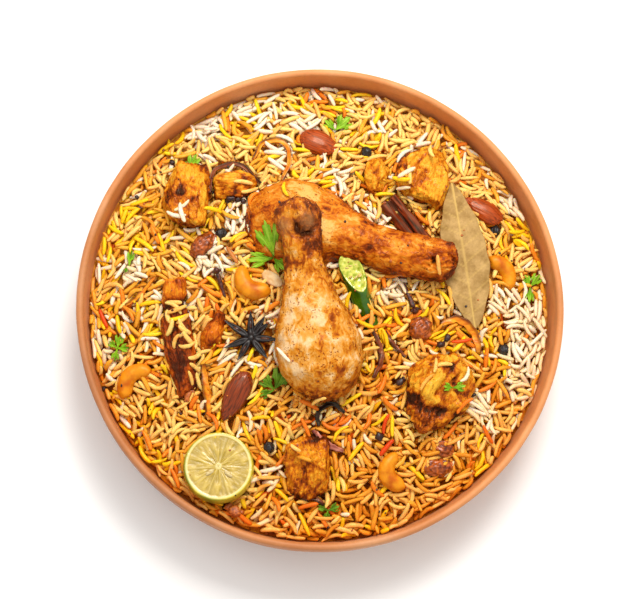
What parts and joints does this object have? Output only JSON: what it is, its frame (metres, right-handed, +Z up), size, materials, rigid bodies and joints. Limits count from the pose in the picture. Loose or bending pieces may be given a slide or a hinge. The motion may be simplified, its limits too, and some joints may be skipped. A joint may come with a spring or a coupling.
{
  "type": "biryani in a dish",
  "caption": "Round clay dish heaped with spiced rice, chicken, nuts, whole spices, a lime half and fresh herbs.",
  "frame": {"origin": "centre of the dish's flat underside, on the table", "axes": "+Z up; -Y towards the eater, with the lime at the front left and the bay leaf on the +X side; the front drumstick's knuckle points to +Y"},
  "size_m": [0.26, 0.26, 0.0816],
  "materials": {
    "clay": "unglazed fired clay, smooth and matt",
    "rice": "moist steamed rice, soft sheen",
    "drumstick": "roast chicken skin, oily sheen",
    "chicken": "spiced chicken, oily sheen",
    "lime": "wet cut citrus with waxy peel",
    "almond": "ridged almond skin, semi matt",
    "cashew": "fried cashew, semi gloss",
    "cinnamon": "dark curled bark, matt",
    "chilli": "fresh green skin, glossy",
    "star_anise": "dark dried seed case, semi matt",
    "peppercorn": "wrinkled dried pepper, matt",
    "clove": "dark dried bud, matt",
    "raisin": "wrinkled dried fruit, semi gloss",
    "bay_leaf": "dry leaf, matt",
    "onion": "fried onion, oily",
    "coriander": "fresh herb leaf, soft sheen"
  },
  "bodies": {
    "root": {"dish": "clay", "rice": "rice", "drumstick_front": "drumstick", "drumstick_back": "drumstick", "chicken_1": "chicken", "chicken_2": "chicken", "chicken_3": "chicken", "chicken_4": "chicken", "chicken_5": "chicken", "chicken_6": "chicken", "chicken_7": "chicken", "chicken_8": "chicken", "lime": "lime", "almond_1": "almond", "almond_2": "almond", "almond_3": "almond", "cashew_1": "cashew", "cashew_2": "cashew", "cashew_3": "cashew", "cashew_4": "cashew", "cinnamon": "cinnamon", "chilli": "chilli", "star_anise": "star_anise", "peppercorn_1": "peppercorn", "peppercorn_2": "peppercorn", "peppercorn_3": "peppercorn", "peppercorn_4": "peppercorn", "peppercorn_5": "peppercorn", "clove_1": "clove", "clove_2": "clove", "raisin_1": "raisin", "raisin_2": "raisin", "raisin_3": "raisin", "raisin_4": "raisin", "bay_leaf": "bay_leaf", "onion_1": "onion", "onion_2": "onion", "onion_3": "onion", "onion_4": "onion", "onion_5": "onion", "onion_6": "onion", "onion_7": "onion", "onion_8": "onion", "onion_9": "onion", "onion_10": "onion", "coriander_1": "coriander", "coriander_2": "coriander", "coriander_3": "coriander", "coriander_4": "coriander", "coriander_5": "coriander", "coriander_6": "coriander", "coriander_7": "coriander", "coriander_8": "coriander", "coriander_9": "coriander"}
  },
  "joints": []
}
